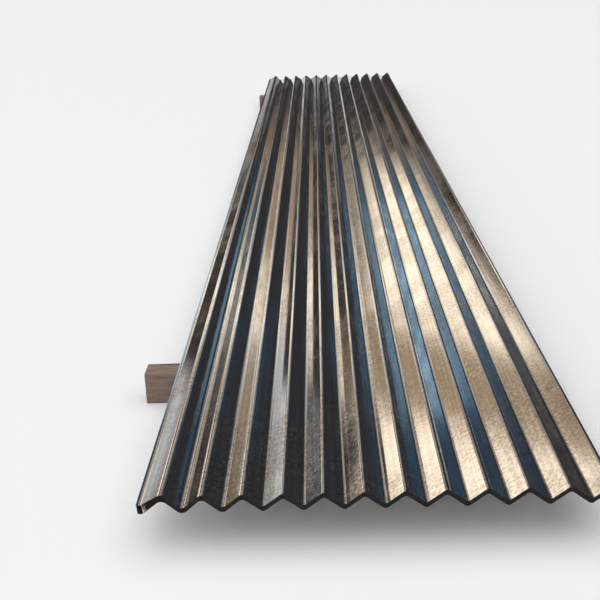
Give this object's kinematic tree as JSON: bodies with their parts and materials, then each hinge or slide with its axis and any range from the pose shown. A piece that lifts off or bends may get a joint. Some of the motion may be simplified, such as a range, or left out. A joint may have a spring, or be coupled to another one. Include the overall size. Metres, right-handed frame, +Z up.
{
  "type": "stack of corrugated roofing sheets",
  "caption": "Nested stack of long corrugated galvanised steel roofing sheets lying on two timber bearers.",
  "frame": {"origin": "middle of the footprint's bounding box, on the floor under the bearers", "axes": "+X across the waves towards the side where the bearers stay under the sheets, +Y along the sheets towards the rear bearer, +Z up"},
  "size_m": [0.989, 6.0016, 0.12],
  "materials": {
    "galvanised_steel": "bright zinc coating with faint spangle, slightly streaked",
    "bearer_timber": "rough-sawn, weathered brown grey"
  },
  "bodies": {
    "root": {"sheet_1": "galvanised_steel", "sheet_2": "galvanised_steel", "sheet_3": "galvanised_steel", "sheet_4": "galvanised_steel", "sheet_5": "galvanised_steel", "sheet_6": "galvanised_steel", "sheet_7": "galvanised_steel", "sheet_8": "galvanised_steel", "front_bearer": "bearer_timber", "rear_bearer": "bearer_timber"}
  },
  "joints": []
}
